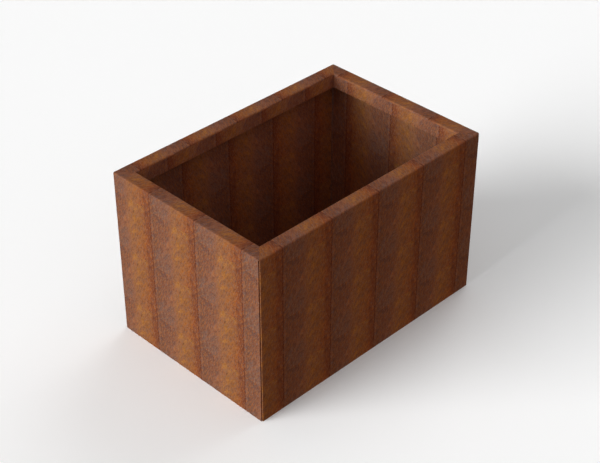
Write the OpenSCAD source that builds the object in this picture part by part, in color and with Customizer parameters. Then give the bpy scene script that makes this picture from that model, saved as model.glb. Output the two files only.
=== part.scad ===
// Rectangular planter box in weathering steel. Four folded panels stand on the
// ground and meet at open corners, each corner welded along its inside. Every
// panel turns in at the top as a flat rim and down again as a lip, mitred to
// its neighbours. A drained base plate on three folded runners closes the box.
// +Z is up, +X runs along the long side, and the origin is the centre of the
// ground face.

/* [Box] */
// Length over the short sides
box_l = 1200; // [900:10:1600]
// Width over the long sides
box_w = 800; // [600:10:1100]
// Height from the ground to the top of the rim
box_h = 750; // [450:10:1000]

/* [Wall panels] */
// Thickness of the wall sheet
sheet_t = 5; // [3:0.5:6]
// Inside radius of each fold
fold_r = 1; // [0.5:0.5:3]
// Width of the rim, from outer face to inner face
rim_w = 64; // [40:1:100]
// Height of the lip, from the top of the rim to its lower edge
lip_h = 64; // [30:1:100]

/* [Welds] */
// Leg of the fillet bead in each upright corner
corner_leg = 6; // [4:0.5:10]
// Radius of the beads behind each rim mitre
mitre_r = 4; // [3:0.5:6]
// Leg of the stitch welds under the base
stitch_leg = 5; // [4:0.5:7]
// Length of one stitch weld
stitch_len = 40; // [20:5:60]
// Largest distance between the centres of two stitch welds
stitch_pitch = 200; // [120:10:300]
// Distance that a bead stops short of an edge
bead_stop = 3; // [1:0.5:6]

/* [Base] */
// Thickness of the base plate
base_t = 4; // [3:0.5:8]
// Gap between the edge of the base plate and the walls
base_gap = 0.5; // [0.2:0.1:1]
// Clearance between a clipped corner of the plate and the corner bead
clip_gap = 3; // [1:0.5:8]
// Diameter of the drain holes
drain_d = 20; // [12:1:40]
// Distance of the drain holes from the outer faces of the walls
drain_inset = 100; // [90:5:150]

/* [Runners] */
// Height of the runners, which lifts the base plate off the ground
runner_h = 20; // [15:1:40]
// Width of a runner
runner_w = 60; // [40:1:100]
// Thickness of the runner sheet
runner_t = 3; // [2:0.5:4]
// Distance from the ends of a runner to the long walls
runner_end_gap = 30; // [15:1:60]
// Distance of the outer runners from the outer faces of the short walls
runner_inset = 200; // [190:5:260]

/* [Hidden] */
$fn = 64;

// Quarter turns that take the front side and the front left corner to the rest
FRONT = 0;
RIGHT = 1;
BACK = 2;
LEFT = 3;

steel_colour = "#8a5a43";
weld_colour = "#6d4433";
base_colour = "#5f4637";

// Outer radius of each fold, and the level where the folds begin
fold_out = fold_r + sheet_t;
fold_z = box_h - fold_out;
rim_under = box_h - sheet_t;
lip_foot = box_h - lip_h;
// Cuts run this far past the solid they trim
past = 1;

// Length of the side that a quarter turn brings to the front, and the depth behind it
function side_len(turn) = turn % 2 == 0 ? box_l : box_w;
function side_depth(turn) = side_len(turn + 1);

// Puts children drawn with their outer face on Y = 0, growing along +Y, on one side
module on_side(turn) {
    rotate([0, 0, 90 * turn])
        translate([0, -side_depth(turn) / 2, 0])
            children();
}

// Puts children drawn from an outer corner at the origin, growing along +X and +Y, on one corner
module on_corner(turn) {
    rotate([0, 0, 90 * turn])
        translate([-side_len(turn) / 2, -side_depth(turn) / 2, 0])
            children();
}

// Extrudes a section drawn as (inward, up) along X, centred
module along_x(len) {
    translate([-len / 2, 0, 0])
        rotate([90, 0, 90])
            linear_extrude(len)
                children();
}

// A quarter of a ring round the origin, in the quadrant that side picks: -1 left, 1 right
module fold_section(r_in, thickness, side) {
    r_out = r_in + thickness;
    intersection() {
        difference() {
            circle(r_out);
            circle(r_in);
        }
        translate([side > 0 ? 0 : -r_out, 0])
            square(r_out);
    }
}

// ---- Wall panels ----

// Section of a panel: the wall, the rim and the lip with the two folds between them
module panel_section() {
    square([sheet_t, fold_z]);
    translate([fold_out, fold_z])
        fold_section(fold_r, sheet_t, -1);
    translate([fold_out, rim_under])
        square([rim_w - 2 * fold_out, sheet_t]);
    translate([rim_w - fold_out, fold_z])
        fold_section(fold_r, sheet_t, 1);
    translate([rim_w - sheet_t, lip_foot])
        square([sheet_t, fold_z - lip_foot]);
}

// Plan of a panel: square ends one sheet short of the corner, then 45 degree mitres
module panel_plan(len) {
    end = len / 2 - sheet_t;
    reach = rim_w + past;
    mitre_end = len / 2 - reach;
    polygon([
        [-end, -past], [end, -past], [end, sheet_t], [mitre_end, reach],
        [-mitre_end, reach], [-end, sheet_t],
    ]);
}

module wall(turn) {
    len = side_len(turn);
    color(steel_colour)
        on_side(turn)
            intersection() {
                along_x(len)
                    panel_section();
                translate([0, 0, -past])
                    linear_extrude(box_h + 2 * past)
                        panel_plan(len);
            }
}

// ---- Welds of the walls and the rim ----

// Fillet bead up the inside of a corner, from the ground edge to the folds
module corner_weld(turn) {
    color(weld_colour)
        on_corner(turn)
            translate([sheet_t, sheet_t, bead_stop])
                linear_extrude(fold_z - bead_stop)
                    polygon([[0, 0], [corner_leg, 0], [0, corner_leg]]);
}

// Half round bead under the mitre, and a bead round the hidden corner of the lips
module rim_weld(turn) {
    lip_face = rim_w - sheet_t;
    end_gap = mitre_r + fold_r * sqrt(2);
    mitre_len = (lip_face - sheet_t) * sqrt(2) - 2 * end_gap;
    color(weld_colour)
        on_corner(turn) {
            translate([sheet_t, sheet_t, rim_under])
                rotate([0, 0, 45])
                    translate([end_gap, 0, 0])
                        rotate([90, 0, 90])
                            linear_extrude(mitre_len)
                                intersection() {
                                    circle(mitre_r);
                                    translate([-mitre_r, -mitre_r])
                                        square([2 * mitre_r, mitre_r]);
                                }
            translate([lip_face, lip_face, lip_foot + bead_stop])
                linear_extrude(fold_z - lip_foot - bead_stop)
                    difference() {
                        circle(mitre_r);
                        square(mitre_r + past);
                    }
        }
}

// ---- Base ----

module base_plate() {
    half_l = box_l / 2 - sheet_t - base_gap;
    half_w = box_w / 2 - sheet_t - base_gap;
    clip = corner_leg + clip_gap;
    color(base_colour)
        translate([0, 0, runner_h])
            difference() {
                linear_extrude(base_t)
                    polygon([
                        [-half_l + clip, -half_w], [half_l - clip, -half_w],
                        [half_l, -half_w + clip], [half_l, half_w - clip],
                        [half_l - clip, half_w], [-half_l + clip, half_w],
                        [-half_l, half_w - clip], [-half_l, -half_w + clip],
                    ]);
                for (sx = [-1, 1], sy = [-1, 1])
                    translate([
                        sx * (box_l / 2 - drain_inset),
                        sy * (box_w / 2 - drain_inset),
                        -past,
                    ])
                        cylinder(d = drain_d, h = base_t + 2 * past);
            }
}

// Centres of the fewest stitches along a run that keep to the pitch
function stitch_places(run) =
    let (gaps = ceil(run / stitch_pitch))
    [for (i = [0 : gaps]) -run / 2 + i * run / gaps];

// Stitch welds that hold the underside of the base plate to one wall
module base_stitches(turn) {
    run = side_len(turn) - 2 * drain_inset;
    color(weld_colour)
        on_side(turn)
            for (x = stitch_places(run))
                translate([x, sheet_t, runner_h])
                    along_x(stitch_len)
                        polygon([[0, 0], [stitch_leg, 0], [0, -stitch_leg]]);
}

// ---- Runners ----

runner_fold_r = 0.5;
runner_fold_out = runner_fold_r + runner_t;
runner_len = box_w - 2 * (sheet_t + runner_end_gap);

function runner_x(place) = place * (box_l / 2 - runner_inset);

// Puts children drawn along X, centred, on the runner at place: -1 left, 0 middle, 1 right
module on_runner(place) {
    translate([runner_x(place), 0, 0])
        rotate([0, 0, 90])
            children();
}

// Channel with its web up against the base plate and its two edges on the ground
module runner(place) {
    fold_at = runner_w / 2 - runner_fold_out;
    side_h = runner_h - runner_fold_out;
    color(base_colour)
        on_runner(place)
            along_x(runner_len) {
                translate([-fold_at, runner_h - runner_t])
                    square([2 * fold_at, runner_t]);
                for (side = [-1, 1]) {
                    translate([side * fold_at, side_h])
                        fold_section(runner_fold_r, runner_t, side);
                    translate([side * (runner_w - runner_t) / 2 - runner_t / 2, 0])
                        square([runner_t, side_h]);
                }
            }
}

// Stitch welds along both edges of a runner, filling the hollow beside its folds
module runner_stitches(place) {
    r = runner_fold_out;
    leg = stitch_leg;
    run = runner_len - 2 * runner_end_gap - stitch_len;
    color(weld_colour)
        on_runner(place)
            for (x = stitch_places(run), side = [0, 1])
                translate([x, 0, runner_h])
                    mirror([0, side, 0])
                        translate([0, runner_w / 2, 0])
                            along_x(stitch_len)
                                difference() {
                                    polygon([[0, -r], [0, -leg], [leg, 0], [-r, 0]]);
                                    translate([-r, -r])
                                        circle(r);
                                }
}

wall(FRONT);  // wall_front
wall(RIGHT);  // wall_right
wall(BACK);  // wall_back
wall(LEFT);  // wall_left

corner_weld(FRONT);  // corner_weld_front_left
corner_weld(RIGHT);  // corner_weld_front_right
corner_weld(BACK);  // corner_weld_back_right
corner_weld(LEFT);  // corner_weld_back_left

rim_weld(FRONT);  // rim_weld_front_left
rim_weld(RIGHT);  // rim_weld_front_right
rim_weld(BACK);  // rim_weld_back_right
rim_weld(LEFT);  // rim_weld_back_left

base_plate();

base_stitches(FRONT);  // base_stitches_front
base_stitches(RIGHT);  // base_stitches_right
base_stitches(BACK);  // base_stitches_back
base_stitches(LEFT);  // base_stitches_left

runner(-1);  // runner_left
runner(0);  // runner_middle
runner(1);  // runner_right

runner_stitches(-1);  // runner_stitches_left
runner_stitches(0);  // runner_stitches_middle
runner_stitches(1);  // runner_stitches_right
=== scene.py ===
"""A planter box folded from weathering steel sheet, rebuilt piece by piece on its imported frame."""
import logging
import math
import random
from abc import ABC, abstractmethod
from dataclasses import dataclass
from enum import Enum, IntEnum

import bmesh
import bpy
from mathutils import Matrix, Vector


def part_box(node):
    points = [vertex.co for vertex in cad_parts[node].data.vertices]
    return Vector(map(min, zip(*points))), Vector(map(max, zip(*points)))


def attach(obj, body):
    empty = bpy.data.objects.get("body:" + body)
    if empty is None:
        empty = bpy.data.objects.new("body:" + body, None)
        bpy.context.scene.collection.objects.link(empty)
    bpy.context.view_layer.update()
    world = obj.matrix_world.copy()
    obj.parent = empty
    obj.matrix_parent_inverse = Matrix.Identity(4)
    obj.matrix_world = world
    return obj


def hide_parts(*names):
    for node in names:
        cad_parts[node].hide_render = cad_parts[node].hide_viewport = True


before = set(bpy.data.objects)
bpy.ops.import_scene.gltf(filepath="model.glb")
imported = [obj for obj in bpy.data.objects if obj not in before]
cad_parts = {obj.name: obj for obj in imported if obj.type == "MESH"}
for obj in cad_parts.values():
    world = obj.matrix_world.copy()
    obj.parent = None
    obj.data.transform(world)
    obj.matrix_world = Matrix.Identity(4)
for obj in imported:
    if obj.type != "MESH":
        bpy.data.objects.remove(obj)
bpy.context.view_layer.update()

MM = 0.001
LOG = logging.getLogger("planter")

# Height of the first level seam of the patina's tiles, from the panels' feet.
ROW_SEAM = 172 * MM
# Points nearer than this are one point.
SAME_POINT = 0.01 * MM
# An edge that turns by more than this gets its arris broken, in degrees.
SHARP_ANGLE = 40
# Faces that meet at less than this are shaded as one smooth surface, in degrees.
SMOOTH_ANGLE = 35
# Faces that meet at less than this are one flat face, in degrees.
FLAT_ANGLE = 1

Box = tuple[Vector, Vector]
Tree = bpy.types.NodeTree
Socket = bpy.types.NodeSocket
Window = tuple[float, float, float, float]


# ---------------------------------------------------------------------------
# Small tools
# ---------------------------------------------------------------------------

def linear(code: str) -> tuple[float, float, float, float]:
    """Turn an sRGB hex colour into linear RGBA.

    Args:
        code: six hex digits, such as "8a5a43".

    Returns:
        The linear colour, with an alpha of 1.
    """
    parts = (int(code[i:i + 2], 16) / 255 for i in (0, 2, 4))
    red, green, blue = (c / 12.92 if c <= 0.04045 else ((c + 0.055) / 1.055) ** 2.4 for c in parts)
    return red, green, blue, 1.0


def add_node(tree: Tree, kind: str, inputs: dict | None = None, **settings) -> bpy.types.Node:
    """Add one node with its settings and links.

    Args:
        tree: the node tree that it goes in.
        kind: the node's type, without the leading "ShaderNode".
        inputs: socket name or number to a value, or to the socket that feeds it.
        settings: the node's own properties.

    Returns:
        The new node.
    """
    made = tree.nodes.new("ShaderNode" + kind)
    for name, value in settings.items():
        setattr(made, name, value)
    for key, value in (inputs or {}).items():
        if isinstance(value, Socket):
            tree.links.new(value, made.inputs[key])
        else:
            made.inputs[key].default_value = value
    return made


def new_material(name: str) -> tuple[bpy.types.Material, Tree]:
    """Make an empty node material.

    Args:
        name: the finish's name.

    Returns:
        The material and its node tree.
    """
    material = bpy.data.materials.new(name)
    material.use_nodes = True
    material.node_tree.nodes.clear()
    return material, material.node_tree


def finish_piece(mesh: bmesh.types.BMesh, name: str, material: bpy.types.Material,
                 replaces: str) -> bpy.types.Object:
    """Turn a mesh into a finished piece that rides on the box and stands for a CAD node.

    Args:
        mesh: the piece's mesh, in the frame's place. It is freed.
        name: the piece's name.
        material: the piece's finish.
        replaces: the CAD node that the piece stands for.

    Returns:
        The new object.
    """
    data = bpy.data.meshes.new(name)
    mesh.to_mesh(data)
    mesh.free()
    data.materials.append(material)
    data.shade_smooth()
    data.set_sharp_from_angle(angle=math.radians(SMOOTH_ANGLE))
    piece = bpy.data.objects.new(name, data)
    bpy.context.scene.collection.objects.link(piece)
    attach(piece, "root")
    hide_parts(replaces)
    LOG.info("%s: %d faces", name, len(data.polygons))
    return piece


def add_mesh(mesh: bmesh.types.BMesh, other: bmesh.types.BMesh) -> None:
    """Move the whole of one mesh into another.

    Args:
        mesh: the mesh that grows.
        other: the mesh that moves. It is freed.
    """
    moved = bpy.data.meshes.new("moved")
    other.to_mesh(moved)
    other.free()
    mesh.from_mesh(moved)
    bpy.data.meshes.remove(moved)


def sharp_edges(mesh: bmesh.types.BMesh) -> list[bmesh.types.BMEdge]:
    """List the edges that turn by more than SHARP_ANGLE."""
    limit = math.radians(SHARP_ANGLE)
    return [e for e in mesh.edges if len(e.link_faces) == 2 and e.calc_face_angle(0) > limit]


def node_copy(node: str, arris: float) -> bmesh.types.BMesh:
    """Copy a CAD node's mesh, merge its loose triangles into flat faces and break its sharp edges.

    Args:
        node: the node's name.
        arris: width that the broken edges take from each face, in metres.

    Returns:
        The copy.
    """
    mesh = bmesh.new()
    mesh.from_mesh(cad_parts[node].data)
    bmesh.ops.remove_doubles(mesh, verts=mesh.verts, dist=SAME_POINT)
    bmesh.ops.dissolve_limit(mesh, angle_limit=math.radians(FLAT_ANGLE), verts=mesh.verts,
                             edges=mesh.edges)
    bmesh.ops.bevel(mesh, geom=sharp_edges(mesh), offset=arris, segments=2, profile=0.5,
                    affect="EDGES", material=-1)
    return mesh


def loose_parts(node: str) -> list[Box]:
    """Find the separate solids of a CAD node.

    Args:
        node: the node's name.

    Returns:
        The lowest and highest corner of each solid.
    """
    mesh = bmesh.new()
    mesh.from_mesh(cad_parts[node].data)
    bmesh.ops.remove_doubles(mesh, verts=mesh.verts, dist=SAME_POINT)
    boxes = []
    left = set(mesh.verts)
    while left:
        part, edge_of = set(), [left.pop()]
        while edge_of:
            vert = edge_of.pop()
            part.add(vert)
            near = {e.other_vert(vert) for e in vert.link_edges} & left
            left -= near
            edge_of.extend(near)
        spots = [v.co for v in part]
        low = Vector(min(s[i] for s in spots) for i in range(3))
        high = Vector(max(s[i] for s in spots) for i in range(3))
        boxes.append((low, high))
    mesh.free()
    return sorted(boxes, key=lambda b: tuple(b[0]))


# ---------------------------------------------------------------------------
# Sizes
# ---------------------------------------------------------------------------

class Side(IntEnum):
    """The sides of the box, as quarter turns from the front.

    A corner has the number of the side to its right, seen from outside.
    """

    FRONT = 0
    RIGHT = 1
    BACK = 2
    LEFT = 3

    @property
    def label(self) -> str:
        """The side's name in lower case."""
        return self.name.lower()

    @property
    def corner(self) -> str:
        """The name of the corner at the left end of this side, seen from outside."""
        return ("front_left", "front_right", "back_right", "back_left")[self]

    @property
    def turn(self) -> Matrix:
        """The turn that brings the front to this side."""
        return Matrix.Rotation(math.radians(90 * self), 4, "Z")


@dataclass(frozen=True)
class BoxSizes:
    """The sizes of the box, in metres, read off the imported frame."""

    length: float
    width: float
    height: float
    sheet: float
    rim: float
    lip: float
    fold_inside: float = 1 * MM

    @classmethod
    def from_frame(cls) -> "BoxSizes":
        """Read the sizes off the CAD nodes.

        Returns:
            The sizes.
        """
        low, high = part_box("wall_front")
        left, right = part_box("wall_left"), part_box("wall_right")
        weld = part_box("corner_weld_front_left")
        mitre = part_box("rim_weld_front_left")
        # Both beads stop the same distance above the edge of their sheet.
        lip_foot = mitre[0].z - weld[0].z
        return cls(
            length=right[1].x - left[0].x,
            width=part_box("wall_back")[1].y - low.y,
            height=high.z,
            sheet=weld[0].x - left[0].x,
            rim=high.y - low.y,
            lip=high.z - lip_foot,
        )

    @property
    def fold(self) -> float:
        """Outer radius of the folds."""
        return self.fold_inside + self.sheet

    @property
    def fold_level(self) -> float:
        """Height at which the upright sheet starts to turn."""
        return self.height - self.fold

    @property
    def folds(self) -> tuple[float, float]:
        """Middle of the two folds, as distances along the flat sheet from the panel's foot."""
        half_turn = self.fold * math.pi / 4
        flat = self.rim - 2 * self.fold
        return self.fold_level + half_turn, self.fold_level + 3 * half_turn + flat

    def along(self, side: Side) -> float:
        """Length of a side, outer corner to outer corner."""
        return self.length if side % 2 == 0 else self.width

    def deep(self, side: Side) -> float:
        """Distance between a side and the one opposite."""
        return self.width if side % 2 == 0 else self.length

    def on_side(self, side: Side) -> Matrix:
        """Place for what is drawn with its outer face on Y = 0, growing along +Y."""
        return side.turn @ Matrix.Translation((0, -self.deep(side) / 2, 0))

    def on_corner(self, side: Side) -> Matrix:
        """Place for what is drawn from an outer corner at the origin, growing along +X and +Y."""
        return side.turn @ Matrix.Translation((-self.along(side) / 2, -self.deep(side) / 2, 0))


# ---------------------------------------------------------------------------
# Finishes
# ---------------------------------------------------------------------------

# A noise's spot is about this share of its cell.
SPOT_SHARE = 0.6
# Nearly all of a noise's values lie between these.
NOISE_LOW, NOISE_HIGH = 0.25, 0.75


def window(tree: Tree, value: Socket, places: Window) -> Socket:
    """Add a soft window: 0, up to 1, and down again.

    Args:
        tree: the node tree.
        value: what the window reads.
        places: where it leaves 0, reaches 1, leaves 1 and is back at 0.

    Returns:
        The window's value.
    """
    rise, full, fall, end = places
    opening = add_node(tree, "MapRange", {0: value, 1: rise, 2: full},
                       interpolation_type="SMOOTHSTEP")
    closing = add_node(tree, "MapRange", {0: value, 1: end, 2: fall},
                       interpolation_type="SMOOTHSTEP")
    both = {0: opening.outputs[0], 1: closing.outputs[0]}
    return add_node(tree, "Math", both, operation="MULTIPLY").outputs[0]


@dataclass(frozen=True)
class Spots:
    """A noise whose spots have a real size and lean to one side."""

    width: float
    length: float
    lean: float
    detail: float = 3.0
    rough: float = 0.55
    seed: float = 0.0
    seed_slope: float = 2.3

    def add(self, tree: Tree, where: Socket) -> Socket:
        """Add the noise.

        Args:
            tree: the node tree.
            where: coordinates in metres.

        Returns:
            The noise's value, about 0.5 on average.
        """
        placed = add_node(tree, "Mapping", {
            "Vector": where,
            "Location": (self.seed, self.seed * self.seed_slope, 0),
            "Rotation": (0, 0, math.radians(self.lean)),
            "Scale": (self.length, self.width, 1),
        }, vector_type="TEXTURE")
        return add_node(tree, "TexNoise", {
            "Vector": placed.outputs[0], "Scale": SPOT_SHARE, "Detail": self.detail,
            "Roughness": self.rough,
        }, noise_dimensions="2D").outputs[0]


@dataclass(frozen=True)
class Patch:
    """One colour that gathers in a part of each sheet tile, where a noise runs high or low.

    The windows say where it leaves 0, reaches 1, leaves 1 and is back at 0, as shares of the tile.
    It starts to show at one value of the noise, and has its largest share from another one on.
    """

    colour: str
    across: Window
    up: Window
    noise: str
    start: float
    full: float
    most: float

    def lay(self, tree: Tree, under: Socket, cell: Socket, noise: Socket) -> Socket:
        """Lay the patch over a colour.

        Args:
            tree: the node tree.
            under: the colour that it lies on.
            cell: place in the tile, as shares of its width and height.
            noise: the noise that it follows.

        Returns:
            The new colour.
        """
        across, up, _ = add_node(tree, "SeparateXYZ", {0: cell}).outputs
        follows = add_node(tree, "MapRange", {0: noise, 1: self.start, 2: self.full, 4: self.most},
                           interpolation_type="SMOOTHSTEP")
        windows = {0: window(tree, across, self.across), 1: window(tree, up, self.up)}
        place = add_node(tree, "Math", windows, operation="MULTIPLY")
        share = add_node(tree, "Math", {0: follows.outputs[0], 1: place.outputs[0]},
                         operation="MULTIPLY")
        layers = {0: share.outputs[0], 1: under, 2: linear(self.colour)}
        return add_node(tree, "MixRGB", layers).outputs[0]


# A window that is open over the whole tile.
EVERYWHERE = (-0.2, -0.1, 1.1, 1.2)


@dataclass(frozen=True)
class WeatheringSteel:
    """Weathering steel sheet, hot rolled, rained on until its rust patina closed.

    The patina is matt and earthy: upright bands where water ran, each with a hard dark edge,
    a violet-grey stretch, then ochre and orange, all mottled like bark.
    """

    folds: tuple[float, ...]
    name: str = "weathering_steel_rolled_patina"
    band: float = 250 * MM
    # Colours that one band runs through, by share of its width, from its dark edge to the next:
    # edge, fringe, grey, brown, tan, ochre, orange, rust red, edge.
    bands: tuple[tuple[float, str], ...] = (
        (0.0, "4f281b"), (0.010, "4f281b"), (0.022, "6e4a39"), (0.07, "674534"),
        (0.28, "6e4937"), (0.45, "785039"), (0.60, "7d563a"), (0.78, "7a4e31"),
        (0.90, "6c4029"), (0.985, "6c4029"), (1.0, "4f281b"),
    )
    spots: tuple[tuple[str, Spots], ...] = (
        ("cloud", Spots(50 * MM, 90 * MM, 70, 3, 0.6)),
        ("drift", Spots(15 * MM, 32 * MM, 58, 5, 0.72, 0.81)),
        ("mottle", Spots(8.5 * MM, 22 * MM, 66, 5, 0.76, 0.35)),
        ("fleck", Spots(4.2 * MM, 15 * MM, 70, 4, 0.72, 1.7)),
        ("speck", Spots(3 * MM, 9 * MM, 64, 3, 0.68, 2.6)),
    )
    # The real grain is a few tenths of a millimetre. It is drawn as coarse as it needs to show.
    grain: Spots = Spots(1.8 * MM, 4 * MM, 80, 3, 0.6)
    # Slate, violet grey, plum, gold, flame and edge red keep to their part of the tile; orange
    # flecks, red specks, dark flecks, dark mottles and pale specks lie everywhere.
    patches: tuple[Patch, ...] = (
        Patch("5d504c", (0.06, 0.16, 0.42, 0.52), (-0.02, 0.0, 0.24, 0.50),
              "fleck", 0.42, 0.60, 0.66),
        Patch("5f504c", (0.02, 0.05, 0.36, 0.52), EVERYWHERE, "drift", 0.50, 0.62, 0.50),
        Patch("54342a", (0.02, 0.10, 0.36, 0.52), (0.35, 0.60, 1.10, 1.20),
              "drift", 0.46, 0.62, 0.45),
        Patch("97672e", (0.42, 0.56, 0.80, 0.92), (0.05, 0.38, 1.10, 1.20),
              "drift", 0.44, 0.60, 0.70),
        Patch("82431b", (0.54, 0.72, 0.96, 1.10), (-0.2, -0.1, 0.50, 0.95),
              "drift", 0.44, 0.64, 0.55),
        Patch("5e3423", (0.85, 0.95, 1.10, 1.20), EVERYWHERE, "drift", 0.38, 0.60, 0.55),
        Patch("8c5a2f", EVERYWHERE, EVERYWHERE, "fleck", 0.50, 0.64, 0.55),
        Patch("6c351d", EVERYWHERE, EVERYWHERE, "speck", 0.52, 0.66, 0.50),
        Patch("4a2e26", EVERYWHERE, EVERYWHERE, "fleck", 0.48, 0.32, 0.42),
        Patch("4a2a1d", EVERYWHERE, EVERYWHERE, "mottle", 0.47, 0.31, 0.40),
        Patch("75625e", EVERYWHERE, EVERYWHERE, "speck", 0.46, 0.32, 0.45),
    )
    # How far the band's soft borders wander, and where they are free to.
    wander: float = 0.1
    wander_place: Window = (0.03, 0.14, 0.88, 0.98)
    # Rubbed metal, which shows along the folds and along the cut edges.
    worn: str = "7d5336"
    fold_core: float = 1 * MM
    fold_reach: float = 7 * MM
    fold_share: float = 0.2
    cut_core: float = 0.5 * MM
    cut_reach: float = 5 * MM
    cut_share: float = 0.12
    # Values of the fleck noise between which the rubbed strips break up, and their least share.
    worn_noise: tuple[float, float] = (0.30, 0.62)
    worn_least: float = 0.25
    # How much lighter and darker each noise makes the colour.
    swings: tuple[tuple[str, float], ...] = (
        ("cloud", 0.10), ("mottle", 0.10), ("speck", 0.12), ("grain", 0.20),
    )
    # The roughness runs between two values as the mottle noise runs between two of its own.
    rough_noise: tuple[float, float] = (0.3, 0.7)
    roughness: tuple[float, float] = (0.70, 0.88)
    shine: float = 0.06
    relief: float = 0.35 * MM
    relief_strength: float = 0.3

    def material(self) -> bpy.types.Material:
        """Build the finish.

        Returns:
            The material, which reads the panel's UV maps "sheet" and "ends", in metres.
        """
        made, tree = new_material(self.name)
        sheet = add_node(tree, "UVMap", uv_map="sheet").outputs["UV"]
        tiles = add_node(tree, "VectorMath", {0: sheet, "Scale": 1 / self.band},
                         operation="SCALE").outputs[0]
        cell = add_node(tree, "VectorMath", {0: tiles}, operation="FRACTION").outputs[0]
        local = add_node(tree, "VectorMath", {0: cell, "Scale": self.band},
                         operation="SCALE").outputs[0]
        noises = {name: spots.add(tree, local) for name, spots in self.spots}
        noises["grain"] = self.grain.add(tree, sheet)
        colour = self.band_colours(tree, self.wandering(tree, cell, noises["cloud"]))
        for patch in self.patches:
            colour = patch.lay(tree, colour, cell, noises[patch.noise])
        rubbed = {0: self.wear(tree, sheet, noises["fleck"]), 1: colour, 2: linear(self.worn)}
        colour = add_node(tree, "MixRGB", rubbed).outputs[0]
        for noise, swing in self.swings:
            shade = add_node(tree, "MapRange", {0: noises[noise], 1: NOISE_LOW, 2: NOISE_HIGH,
                                                3: 1 - swing, 4: 1 + swing})
            colour = add_node(tree, "VectorMath", {0: colour, "Scale": shade.outputs[0]},
                              operation="SCALE").outputs[0]
        (start, end), (low, high) = self.rough_noise, self.roughness
        rough = add_node(tree, "MapRange", {0: noises["mottle"], 1: start, 2: end, 3: low, 4: high})
        relief = add_node(tree, "Math", {0: noises["grain"], 1: noises["fleck"]}, operation="ADD")
        bump = add_node(tree, "Bump", {"Height": relief.outputs[0], "Distance": self.relief,
                                       "Strength": self.relief_strength})
        shader = add_node(tree, "BsdfPrincipled", {
            "Base Color": colour, "Roughness": rough.outputs[0], "Normal": bump.outputs[0],
            "Specular IOR Level": self.shine,
        })
        add_node(tree, "OutputMaterial", {"Surface": shader.outputs[0]})
        return made

    def wandering(self, tree: Tree, cell: Socket, cloud: Socket) -> Socket:
        """Let the band's soft borders wander, and keep its hard edge straight.

        Args:
            tree: the node tree.
            cell: place in the tile, as shares of its width and height.
            cloud: the noise that they wander by.

        Returns:
            The share of the width at which the band's colour is read.
        """
        across = add_node(tree, "SeparateXYZ", {0: cell}).outputs[0]
        shift = add_node(tree, "MapRange", {0: cloud, 1: NOISE_LOW, 2: NOISE_HIGH,
                                            3: -self.wander, 4: self.wander})
        factors = {0: shift.outputs[0], 1: window(tree, across, self.wander_place)}
        shift = add_node(tree, "Math", factors, operation="MULTIPLY")
        return add_node(tree, "Math", {0: across, 1: shift.outputs[0]}, operation="ADD").outputs[0]

    def band_colours(self, tree: Tree, place: Socket) -> Socket:
        """Add the colours that one band runs through, from its dark edge to the next.

        Args:
            tree: the node tree.
            place: share of the band's width, from 0 to 1.

        Returns:
            The colour.
        """
        ramp = add_node(tree, "ValToRGB", {0: place})
        elements = ramp.color_ramp.elements
        while len(elements) < len(self.bands):
            elements.new(1.0)
        for element, (spot, code) in zip(elements, self.bands):
            element.position = spot
            element.color = linear(code)
        return ramp.outputs[0]

    def wear(self, tree: Tree, sheet: Socket, fleck: Socket) -> Socket:
        """Find where the patina is rubbed: along the folds and along the cut edges.

        Args:
            tree: the node tree.
            sheet: the sheet's own coordinates.
            fleck: the noise that breaks the rubbed strips up.

        Returns:
            The share of rubbed metal.
        """
        ends = add_node(tree, "UVMap", uv_map="ends").outputs["UV"]
        left, right, _ = add_node(tree, "SeparateXYZ", {0: ends}).outputs
        nearest = add_node(tree, "Math", {0: left, 1: right}, operation="MINIMUM").outputs[0]
        total = add_node(tree, "MapRange", {0: nearest, 1: self.cut_reach, 2: self.cut_core,
                                            4: self.cut_share},
                         interpolation_type="SMOOTHSTEP").outputs[0]
        _, along, _ = add_node(tree, "SeparateXYZ", {0: sheet}).outputs
        for fold in self.folds:
            strip = (fold - self.fold_reach, fold - self.fold_core,
                     fold + self.fold_core, fold + self.fold_reach)
            rubbed = {0: window(tree, along, strip), 1: self.fold_share, 2: total}
            total = add_node(tree, "Math", rubbed, operation="MULTIPLY_ADD").outputs[0]
        low, high = self.worn_noise
        broken = add_node(tree, "MapRange", {0: fleck, 1: low, 2: high, 3: self.worn_least})
        return add_node(tree, "Math", {0: total, 1: broken.outputs[0]},
                        operation="MULTIPLY").outputs[0]


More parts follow.
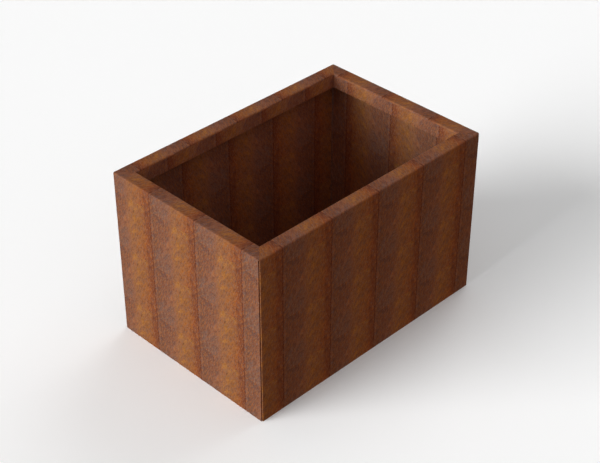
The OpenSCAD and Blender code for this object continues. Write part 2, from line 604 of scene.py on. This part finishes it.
@dataclass(frozen=True)
class WeldMetal:
    """A weld bead laid by hand and rusted over as welded: dark, warm, with a faint heat tint."""

    name: str = "weld_bead_rusted"
    rust: str = "66402e"
    dark: str = "43291e"
    tint: str = "5a4740"
    tint_share: float = 0.5
    # Size of each noise's spots, and its values between which the rust or the tint comes out.
    spot: float = 6 * MM
    rust_noise: tuple[float, float] = (0.35, 0.62)
    stain: float = 36 * MM
    tint_noise: tuple[float, float] = (0.5, 0.66)
    roughness: float = 0.6
    relief: float = 0.3 * MM
    relief_strength: float = 0.4

    def material(self) -> bpy.types.Material:
        """Build the finish.

        Returns:
            The material, which reads Object coordinates.
        """
        made, tree = new_material(self.name)
        where = add_node(tree, "TexCoord").outputs["Object"]
        spots, stains = (
            add_node(tree, "TexNoise", {"Vector": where, "Scale": SPOT_SHARE / size,
                                        "Detail": detail}).outputs[0]
            for size, detail in ((self.spot, 4.0), (self.stain, 2.0))
        )
        start, full = self.rust_noise
        share = add_node(tree, "MapRange", {0: spots, 1: start, 2: full},
                         interpolation_type="SMOOTHSTEP").outputs[0]
        mottled = {0: share, 1: linear(self.dark), 2: linear(self.rust)}
        colour = add_node(tree, "MixRGB", mottled).outputs[0]
        start, full = self.tint_noise
        heat = add_node(tree, "MapRange", {0: stains, 1: start, 2: full, 4: self.tint_share})
        tinted = {0: heat.outputs[0], 1: colour, 2: linear(self.tint)}
        colour = add_node(tree, "MixRGB", tinted).outputs[0]
        bump = add_node(tree, "Bump", {"Height": spots, "Distance": self.relief,
                                       "Strength": self.relief_strength})
        shader = add_node(tree, "BsdfPrincipled", {
            "Base Color": colour, "Roughness": self.roughness, "Normal": bump.outputs[0],
        })
        add_node(tree, "OutputMaterial", {"Surface": shader.outputs[0]})
        return made


@dataclass(frozen=True)
class BaseSteel:
    """Mill-finish sheet inside and under the box, kept damp, with an even brown rust film."""

    name: str = "base_sheet_rust_film"
    film: str = "6b4430"
    scale: str = "4a352b"
    bloom: str = "8a5a36"
    bloom_share: float = 0.6
    # Size of each noise's spots, and its values between which the film or the bloom comes out.
    patch: float = 60 * MM
    film_noise: tuple[float, float] = (0.4, 0.62)
    speck: float = 5 * MM
    bloom_noise: tuple[float, float] = (0.55, 0.7)
    roughness: tuple[float, float] = (0.6, 0.85)
    relief: float = 0.3 * MM
    relief_strength: float = 0.3

    def material(self) -> bpy.types.Material:
        """Build the finish.

        Returns:
            The material, which reads Object coordinates.
        """
        made, tree = new_material(self.name)
        where = add_node(tree, "TexCoord").outputs["Object"]
        broad = add_node(tree, "TexNoise", {
            "Vector": where, "Scale": SPOT_SHARE / self.patch, "Detail": 5.0, "Roughness": 0.6,
        }).outputs[0]
        fine = add_node(tree, "TexNoise", {
            "Vector": where, "Scale": SPOT_SHARE / self.speck, "Detail": 3.0,
        }).outputs[0]
        start, full = self.film_noise
        share = add_node(tree, "MapRange", {0: broad, 1: start, 2: full},
                         interpolation_type="SMOOTHSTEP").outputs[0]
        patches = {0: share, 1: linear(self.scale), 2: linear(self.film)}
        colour = add_node(tree, "MixRGB", patches).outputs[0]
        start, full = self.bloom_noise
        specks = add_node(tree, "MapRange", {0: fine, 1: start, 2: full, 4: self.bloom_share})
        blooms = {0: specks.outputs[0], 1: colour, 2: linear(self.bloom)}
        colour = add_node(tree, "MixRGB", blooms).outputs[0]
        low, high = self.roughness
        rough = add_node(tree, "MapRange", {0: broad, 3: low, 4: high})
        bump = add_node(tree, "Bump", {"Height": fine, "Distance": self.relief,
                                       "Strength": self.relief_strength})
        shader = add_node(tree, "BsdfPrincipled", {
            "Base Color": colour, "Roughness": rough.outputs[0], "Normal": bump.outputs[0],
        })
        add_node(tree, "OutputMaterial", {"Surface": shader.outputs[0]})
        return made


@dataclass(frozen=True)
class StudioFloor:
    """Pale matt paper under the box."""

    name: str = "studio_floor_paper"
    tone: str = "fefefe"
    roughness: float = 0.9
    shine: float = 0.1

    def material(self) -> bpy.types.Material:
        """Build the finish.

        Returns:
            The material.
        """
        made, tree = new_material(self.name)
        shader = add_node(tree, "BsdfPrincipled", {
            "Base Color": linear(self.tone), "Roughness": self.roughness,
            "Specular IOR Level": self.shine,
        })
        add_node(tree, "OutputMaterial", {"Surface": shader.outputs[0]})
        return made


# ---------------------------------------------------------------------------
# The box
# ---------------------------------------------------------------------------

# Where the patina's tiles start along each side: on the wall and rim, and on the lip.
SEAMS = {
    Side.FRONT: (12.5 * MM, 130 * MM),
    Side.RIGHT: (60 * MM, 2 * MM),
    Side.BACK: (13 * MM, 130 * MM),
    Side.LEFT: (58 * MM, 2 * MM),
}


@dataclass
class WallPanel:
    """One folded panel: the wall, the rim turned in at its top, and the lip turned down again."""

    sizes: BoxSizes
    side: Side
    steel: bpy.types.Material
    seam: float = 0.0
    lip_seam: float = 0.0
    row: float = ROW_SEAM
    fold_steps: int = 6
    arris: float = 0.6 * MM

    def build(self) -> bpy.types.Object:
        """Fold the panel, cut its ends, lay its sheet coordinates and put it in place.

        Returns:
            The finished panel.
        """
        mesh = self.folded_sheet()
        self.cut_ends(mesh)
        self.lay_sheet_map(mesh)
        self.soften(mesh)
        mesh.transform(self.sizes.on_side(self.side))
        name = f"panel_{self.side.label}"
        panel = finish_piece(mesh, name, self.steel, f"wall_{self.side.label}")
        even = panel.modifiers.new("flat_faces_stay_flat", "WEIGHTED_NORMAL")
        even.keep_sharp = True
        return panel

    def folded_sheet(self) -> bmesh.types.BMesh:
        """Draw the outer skin's outline, run it along the side, round its folds and thicken it.

        Returns:
            The mesh of an uncut panel.
        """
        s = self.sizes
        half = s.along(self.side) / 2
        outline = ((0, 0), (0, s.height), (s.rim, s.height), (s.rim, s.height - s.lip))
        mesh = bmesh.new()
        corners = [mesh.verts.new((-half, inward, up)) for inward, up in outline]
        edges = [mesh.edges.new(pair) for pair in zip(corners, corners[1:])]
        made = bmesh.ops.extrude_edge_only(mesh, edges=edges)["geom"]
        ends = [g for g in made if isinstance(g, bmesh.types.BMVert)]
        bmesh.ops.translate(mesh, verts=ends, vec=(2 * half, 0, 0))
        folds = [e for e in mesh.edges if len(e.link_faces) == 2]
        bmesh.ops.bevel(mesh, geom=folds, offset=s.fold, segments=self.fold_steps, profile=0.5,
                        affect="EDGES", material=-1)
        bmesh.ops.recalc_face_normals(mesh, faces=mesh.faces)
        wall = min(mesh.faces, key=lambda f: f.calc_center_median().y)
        if wall.normal.y > 0:
            bmesh.ops.reverse_faces(mesh, faces=mesh.faces)
        bmesh.ops.solidify(mesh, geom=mesh.faces[:], thickness=s.sheet)
        bmesh.ops.recalc_face_normals(mesh, faces=mesh.faces)
        return mesh

    def cut_ends(self, mesh: bmesh.types.BMesh) -> None:
        """Cut both ends square one sheet short of the corner, then mitre the rim and the lip.

        Args:
            mesh: the uncut panel.
        """
        s = self.sizes
        half = s.along(self.side) / 2
        for end in (-1, 1):
            square = Vector((end * (half - s.sheet), 0, 0)), Vector((end, 0, 0))
            mitre = Vector((end * half, 0, 0)), Vector((end, 1, 0)).normalized()
            for point, outward in (square, mitre):
                geom = mesh.verts[:] + mesh.edges[:] + mesh.faces[:]
                bmesh.ops.bisect_plane(mesh, geom=geom, dist=SAME_POINT / 10, plane_co=point,
                                       plane_no=outward, clear_outer=True)
                opening = [e for e in mesh.edges if e.is_boundary]
                bmesh.ops.holes_fill(mesh, edges=opening, sides=0)
        bmesh.ops.recalc_face_normals(mesh, faces=mesh.faces)

    def unfolded(self, inward: float, up: float) -> float:
        """Distance from the panel's foot to a point of its section, along the sheet.

        Args:
            inward: distance of the point from the outer face.
            up: height of the point.

        Returns:
            The distance, in metres.
        """
        s = self.sizes
        turn = s.fold * math.pi / 2
        rim_start, rim_end = s.fold, s.rim - s.fold
        if up > s.fold_level and inward < rim_start:
            return s.fold_level + s.fold * math.atan2(up - s.fold_level, rim_start - inward)
        if up > s.fold_level and inward > rim_end:
            before = s.fold_level + turn + rim_end - rim_start
            return before + s.fold * math.atan2(inward - rim_end, up - s.fold_level)
        if inward < rim_start:
            return up
        if inward > rim_end:
            return s.fold_level + 2 * turn + rim_end - rim_start + s.fold_level - up
        return s.fold_level + turn + inward - rim_start

    def lay_sheet_map(self, mesh: bmesh.types.BMesh) -> None:
        """Write two UV maps in metres: "sheet", each point's place on the flat sheet, and "ends".

        "ends" holds how far a point is from the panel's left and right cut edge.

        Args:
            mesh: the panel.
        """
        s = self.sizes
        reach = s.along(self.side) / 2 - s.sheet
        chart = mesh.loops.layers.uv.new("sheet")
        ends = mesh.loops.layers.uv.new("ends")
        for face in mesh.faces:
            centre = face.calc_center_median()
            on_lip = centre.y > s.rim - s.fold and centre.z < s.fold_level
            seam = self.lip_seam if on_lip else self.seam
            for loop in face.loops:
                spot = loop.vert.co
                loop[chart].uv = (spot.x - seam, self.unfolded(spot.y, spot.z) - self.row)
                mitre = max(0.0, spot.y - s.sheet)
                loop[ends].uv = (reach + spot.x - mitre, reach - spot.x - mitre)

    def soften(self, mesh: bmesh.types.BMesh) -> None:
        """Break the sheet's cut edges, and press points that this lifts off the outline back.

        Args:
            mesh: the panel.
        """
        s = self.sizes
        bmesh.ops.bevel(mesh, geom=sharp_edges(mesh), offset=self.arris, segments=2, profile=0.5,
                        affect="EDGES", material=-1)
        reach = s.along(self.side) / 2 - s.sheet
        for vert in mesh.verts:
            vert.co.x = max(-reach, min(reach, vert.co.x))
            vert.co.z = min(s.height, vert.co.z)


Section = list[tuple[float, float]]


def fillet_section(leg: float, bulge: float = 0.12, steps: int = 5) -> Section:
    """Draw a fillet bead's section: two legs at a right angle and a slightly crowned face.

    Args:
        leg: length of each leg, in metres.
        bulge: rise of the crown, as a share of the leg.
        steps: points between the two toes.

    Returns:
        The section's corners, in order round it.
    """
    face = []
    for step in range(steps + 2):
        share = step / (steps + 1)
        rise = bulge * leg * math.sin(math.pi * share) / math.sqrt(2)
        face.append((leg * (1 - share) + rise, leg * share + rise))
    return [(0.0, 0.0), *face]


def round_section(radius: float, start: float, end: float, steps: int = 10) -> Section:
    """Draw a part-round bead's section, from the centre out round an arc and back.

    Args:
        radius: the bead's radius, in metres.
        start: angle at which the arc starts, in degrees.
        end: angle at which it ends, in degrees.
        steps: straight pieces in the arc.

    Returns:
        The section's corners, in order round it.
    """
    arc = []
    for step in range(steps + 1):
        angle = math.radians(start + (end - start) * step / steps)
        arc.append((radius * math.cos(angle), radius * math.sin(angle)))
    return [(0.0, 0.0), *arc]


@dataclass
class WeldRun:
    """A weld bead of any section, laid along a straight line with the ripples of its pool.

    A ripple's depth is a share of the bead's size, and varies between two multiples of it.
    """

    ripple: float = 3.5 * MM
    depth: float = 0.1
    uneven: tuple[float, float] = (0.5, 1.4)
    steps: int = 4
    seed: int = 7

    def lay(self, section: Section, length: float) -> bmesh.types.BMesh:
        """Run a section along +Z from the origin.

        Args:
            section: corners of the section round the line, in order.
            length: the bead's length.

        Returns:
            The bead's mesh, closed at both ends.
        """
        dice = random.Random(self.seed)
        ripples = max(2, round(length / self.ripple))
        depths = [self.depth * dice.uniform(*self.uneven) for _ in range(ripples + 1)]
        rows, columns = ripples * self.steps, len(section)
        mesh = bmesh.new()
        bmesh.ops.create_grid(mesh, x_segments=columns, y_segments=rows, size=0.5)
        for vert in mesh.verts:
            x, y = section[round((vert.co.x + 0.5) * columns) % columns]
            row = round((vert.co.y + 0.5) * rows)
            ripple, step = divmod(row, self.steps)
            size = 1 - depths[ripple] * (1 - math.sin(math.pi * step / self.steps))
            vert.co = (x * size, y * size, length * row / rows)
        bmesh.ops.remove_doubles(mesh, verts=mesh.verts, dist=SAME_POINT)
        bmesh.ops.holes_fill(mesh, edges=[e for e in mesh.edges if e.is_boundary], sides=0)
        bmesh.ops.recalc_face_normals(mesh, faces=mesh.faces)
        return mesh


@dataclass
class CornerWeld:
    """The fillet bead up the inside of one upright corner."""

    sizes: BoxSizes
    side: Side
    metal: bpy.types.Material

    def build(self) -> bpy.types.Object:
        """Lay the bead in the corner.

        Returns:
            The finished bead.
        """
        node = f"corner_weld_{self.side.corner}"
        low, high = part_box(node)
        mesh = WeldRun(seed=int(self.side)).lay(fillet_section(high.x - low.x), high.z - low.z)
        sheet = self.sizes.sheet
        mesh.transform(self.sizes.on_corner(self.side) @ Matrix.Translation((sheet, sheet, low.z)))
        return finish_piece(mesh, f"bead_corner_{self.side.corner}", self.metal, node)


@dataclass
class RimWeld:
    """The bead under one rim mitre, and the bead round the hidden corner of the two lips."""

    sizes: BoxSizes
    side: Side
    metal: bpy.types.Material
    radius: float = 4 * MM
    seed_under: int = 10
    seed_behind: int = 20

    def build(self) -> bpy.types.Object:
        """Lay both beads.

        Returns:
            The finished pair.
        """
        s = self.sizes
        node = f"rim_weld_{self.side.corner}"
        low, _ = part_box(node)
        lip_face = s.rim - s.sheet
        gap = self.radius + s.fold_inside * math.sqrt(2)
        run = (lip_face - s.sheet) * math.sqrt(2) - 2 * gap
        half_round = round_section(self.radius, 180, 360)
        under = WeldRun(seed=self.seed_under + self.side).lay(half_round, run)
        quarter, eighth = math.radians(90), math.radians(45)
        lay_down = Matrix.Rotation(eighth, 4, "Z") @ Matrix.Rotation(quarter, 4, "Y")
        under.transform(Matrix.Translation((s.sheet, s.sheet, s.height - s.sheet)) @ lay_down
                        @ Matrix.Translation((0, 0, gap)) @ Matrix.Rotation(quarter, 4, "Z"))
        part_round = round_section(self.radius, 90, 360, steps=14)
        behind = WeldRun(seed=self.seed_behind + self.side).lay(part_round, s.fold_level - low.z)
        behind.transform(Matrix.Translation((lip_face, lip_face, low.z)))
        add_mesh(under, behind)
        under.transform(s.on_corner(self.side))
        return finish_piece(under, f"bead_rim_{self.side.corner}", self.metal, node)


def flare_section(leg: float, radius: float, steps: int = 5) -> Section:
    """Draw the section of a bead that also fills the hollow over a rounded corner beside it.

    Args:
        leg: length of each leg, in metres.
        radius: radius of the rounded corner.
        steps: straight pieces in the hollow's arc.

    Returns:
        The section's corners, in order round it.
    """
    _, *face = fillet_section(leg)
    arc = []
    for step in range(steps + 1):
        angle = math.radians(90 * step / steps)
        arc.append((radius * math.cos(angle) - radius, radius - radius * math.sin(angle)))
    return [*face, *arc]


DOWN = Vector((0, 0, -1))


@dataclass
class Stitches(ABC):
    """A row of short beads under the base plate, one to each solid of a CAD node."""

    node: str
    metal: bpy.types.Material
    seed: int

    def build(self) -> bpy.types.Object:
        """Lay the row.

        Returns:
            The finished row.
        """
        row = bmesh.new()
        for place, (low, high) in enumerate(loose_parts(self.node)):
            middle = (low + high) / 2
            out = self.outward(middle)
            along = out.cross(DOWN)
            size = Vector(abs((high - low).dot(axis)) for axis in (out, DOWN, along))
            section = self.section(size.y, size.x - size.y)
            bead = WeldRun(seed=self.seed + place).lay(section, size.z)
            root = middle + out * (size.x / 2 - size.y) - along * size.z / 2
            root.z = high.z
            axes = Matrix((out, DOWN, along)).transposed().to_4x4()
            bead.transform(Matrix.Translation(root) @ axes)
            add_mesh(row, bead)
        return finish_piece(row, f"beads_{self.node}", self.metal, self.node)

    @abstractmethod
    def outward(self, middle: Vector) -> Vector:
        """Tell which way a bead faces, away from the upright face that it is laid on."""

    @abstractmethod
    def section(self, leg: float, hollow: float) -> Section:
        """Draw a bead's section.

        Args:
            leg: length of each leg, in metres.
            hollow: how far the bead reaches back past the upright face.

        Returns:
            The section.
        """


@dataclass
class WallStitches(Stitches):
    """The beads that hold the base plate to one wall."""

    side: Side

    def outward(self, middle: Vector) -> Vector:
        """Face the middle of the box."""
        return self.side.turn.to_3x3() @ Vector((0, 1, 0))

    def section(self, leg: float, hollow: float) -> Section:
        """Draw a plain fillet."""
        return fillet_section(leg)


@dataclass
class RunnerStitches(Stitches):
    """The beads up both edges of one runner."""

    centre: float

    def outward(self, middle: Vector) -> Vector:
        """Face away from the runner."""
        return Vector((math.copysign(1, middle.x - self.centre), 0, 0))

    def section(self, leg: float, hollow: float) -> Section:
        """Draw a fillet that fills the hollow over the runner's fold."""
        return flare_section(leg, hollow)


@dataclass
class BaseTray:
    """The drained plate that closes the box, and the beads that hold it to the walls."""

    steel: bpy.types.Material
    metal: bpy.types.Material
    arris: float = 0.5 * MM
    seed: int = 30
    seed_step: int = 10

    def build(self) -> None:
        """Lay the plate and its stitches."""
        plate = node_copy("base_plate", self.arris)
        finish_piece(plate, "sheet_base_plate", self.steel, "base_plate")
        for side in Side:
            seed = self.seed + self.seed_step * side
            WallStitches(f"base_stitches_{side.label}", self.metal, seed, side).build()


@dataclass
class Runner:
    """One folded channel that lifts the base plate off the ground, with the beads along it."""

    place: str
    steel: bpy.types.Material
    metal: bpy.types.Material
    arris: float = 0.3 * MM
    seed: int = 80

    def build(self) -> None:
        """Set the channel on the ground and lay its stitches."""
        node = f"runner_{self.place}"
        low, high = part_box(node)
        channel = node_copy(node, self.arris)
        finish_piece(channel, f"channel_{self.place}", self.steel, node)
        stitches = f"runner_stitches_{self.place}"
        RunnerStitches(stitches, self.metal, self.seed, (low.x + high.x) / 2).build()


# ---------------------------------------------------------------------------
# Studio
# ---------------------------------------------------------------------------

def away(azimuth: float, elevation: float) -> Vector:
    """Point from the box towards a place round it.

    Args:
        azimuth: degrees, 0 in front of the long side and growing to the right.
        elevation: degrees above the floor.

    Returns:
        The unit direction.
    """
    turn, rise = math.radians(azimuth), math.radians(elevation)
    level = math.cos(rise)
    return Vector((math.sin(turn) * level, -math.cos(turn) * level, math.sin(rise)))


class Lights(Enum):
    """What a light falls on; the value is how its flagging treats the floor."""

    ALL = None
    BOX = "EXCLUDE"
    FLOOR = "INCLUDE"


@dataclass(frozen=True)
class SoftLight:
    """A large softbox, far enough off that its light doesn't fall away across the floor."""

    name: str
    azimuth: float
    elevation: float
    spread: float
    strength: float
    colour: tuple[float, float, float] = (1.0, 1.0, 1.0)
    falls_on: Lights = Lights.ALL

    def hang(self, floor: bpy.types.Object) -> bpy.types.Object:
        """Put the light in its direction.

        Args:
            floor: the floor, which the light may leave out or keep to.

        Returns:
            The light.
        """
        data = bpy.data.lights.new(self.name, "SUN")
        data.angle = math.radians(self.spread)
        data.energy = self.strength
        data.color = self.colour
        lamp = bpy.data.objects.new(self.name, data)
        lamp.rotation_euler = away(self.azimuth, self.elevation).to_track_quat("Z", "Y").to_euler()
        bpy.context.scene.collection.objects.link(lamp)
        if self.falls_on.value:
            flagged = bpy.data.collections.new(f"{self.name}_flag")
            flagged.objects.link(floor)
            flagged.collection_objects[0].light_linking.link_state = self.falls_on.value
            lamp.light_linking.receiver_collection = flagged
        return lamp


@dataclass(frozen=True)
class Studio:
    """The pale floor, the soft lights and the camera."""

    floor_size: float = 60.0
    sky: float = 0.355
    bounce: tuple[float, float, float] = (0.18, 0.13, 0.05)
    camera_azimuth: float = -45.0
    camera_elevation: float = 35.264
    camera_distance: float = 5.70
    lens: float = 85.5
    lights: tuple[SoftLight, ...] = (
        SoftLight("key", -108, 4.5, 46, 6.5, falls_on=Lights.BOX),
        SoftLight("key_shadow", -108, 15, 46, 5.2, falls_on=Lights.FLOOR),
        SoftLight("back", 100, 35, 50, 0.55, falls_on=Lights.BOX),
        SoftLight("back_shadow", 100, 35, 50, 0.92, falls_on=Lights.FLOOR),
        SoftLight("fill", -35, 45, 80, 0.97, (1.0, 0.45, 0.33), Lights.BOX),
    )

    def build(self, sizes: BoxSizes) -> None:
        """Lay the floor, hang the lights and set up the camera.

        Args:
            sizes: the box's sizes.
        """
        floor = self.lay_floor()
        for light in self.lights:
            light.hang(floor)
        self.light_sky()
        self.place_camera(Vector((0, 0, sizes.height / 2)))

    def lay_floor(self) -> bpy.types.Object:
        """Lay the floor. It takes shadows, and throws no light of its own back at the box.

        Returns:
            The floor.
        """
        mesh = bmesh.new()
        bmesh.ops.create_grid(mesh, x_segments=4, y_segments=4, size=self.floor_size / 2)
        data = bpy.data.meshes.new("studio_floor")
        mesh.to_mesh(data)
        mesh.free()
        data.materials.append(StudioFloor().material())
        floor = bpy.data.objects.new("studio_floor", data)
        floor.visible_diffuse = False
        floor.visible_glossy = False
        bpy.context.scene.collection.objects.link(floor)
        return floor

    def light_sky(self) -> None:
        """Fill the room with even white light from above and a weak warm bounce from below."""
        world = bpy.data.worlds.new("studio_sky")
        world.use_nodes = True
        tree = world.node_tree
        tree.nodes.clear()
        direction = add_node(tree, "TexCoord").outputs["Generated"]
        _, _, rise = add_node(tree, "SeparateXYZ", {0: direction}).outputs
        above = add_node(tree, "Math", {0: rise, 1: 0.0}, operation="GREATER_THAN").outputs[0]
        white = (self.sky, self.sky, self.sky, 1.0)
        colour = add_node(tree, "MixRGB", {0: above, 1: (*self.bounce, 1.0), 2: white}).outputs[0]
        background = add_node(tree, "Background", {"Color": colour, "Strength": 1.0})
        add_node(tree, "OutputWorld", {"Surface": background.outputs[0]})
        bpy.context.scene.world = world

    def place_camera(self, aim: Vector) -> None:
        """Stand the camera off the near corner, looking at the middle of the box.

        Args:
            aim: the point that it looks at.
        """
        data = bpy.data.cameras.new("camera")
        data.sensor_width = 36
        data.lens = self.lens
        camera = bpy.data.objects.new("camera", data)
        back = away(self.camera_azimuth, self.camera_elevation)
        camera.location = aim + back * self.camera_distance
        camera.rotation_euler = back.to_track_quat("Z", "Y").to_euler()
        bpy.context.scene.collection.objects.link(camera)
        bpy.context.scene.camera = camera


def main() -> None:
    """Build the box, piece by piece, and its studio."""
    logging.basicConfig(level=logging.INFO, format="%(name)s: %(message)s")
    sizes = BoxSizes.from_frame()
    LOG.info("box %.0f x %.0f x %.0f mm", sizes.length / MM, sizes.width / MM, sizes.height / MM)
    LOG.info("sheet %.1f mm, rim %.0f mm, lip %.0f mm", sizes.sheet / MM, sizes.rim / MM,
             sizes.lip / MM)
    Studio().build(sizes)
    steel = WeatheringSteel(folds=tuple(fold - ROW_SEAM for fold in sizes.folds)).material()
    metal = WeldMetal().material()
    for side in Side:
        WallPanel(sizes, side, steel, *SEAMS[side]).build()
        CornerWeld(sizes, side, metal).build()
        RimWeld(sizes, side, metal).build()
    base = BaseSteel().material()
    BaseTray(base, metal).build()
    for place in ("left", "middle", "right"):
        Runner(place, base, metal).build()
    bpy.context.scene.view_settings.view_transform = "Standard"


if __name__ == "__main__":
    main()
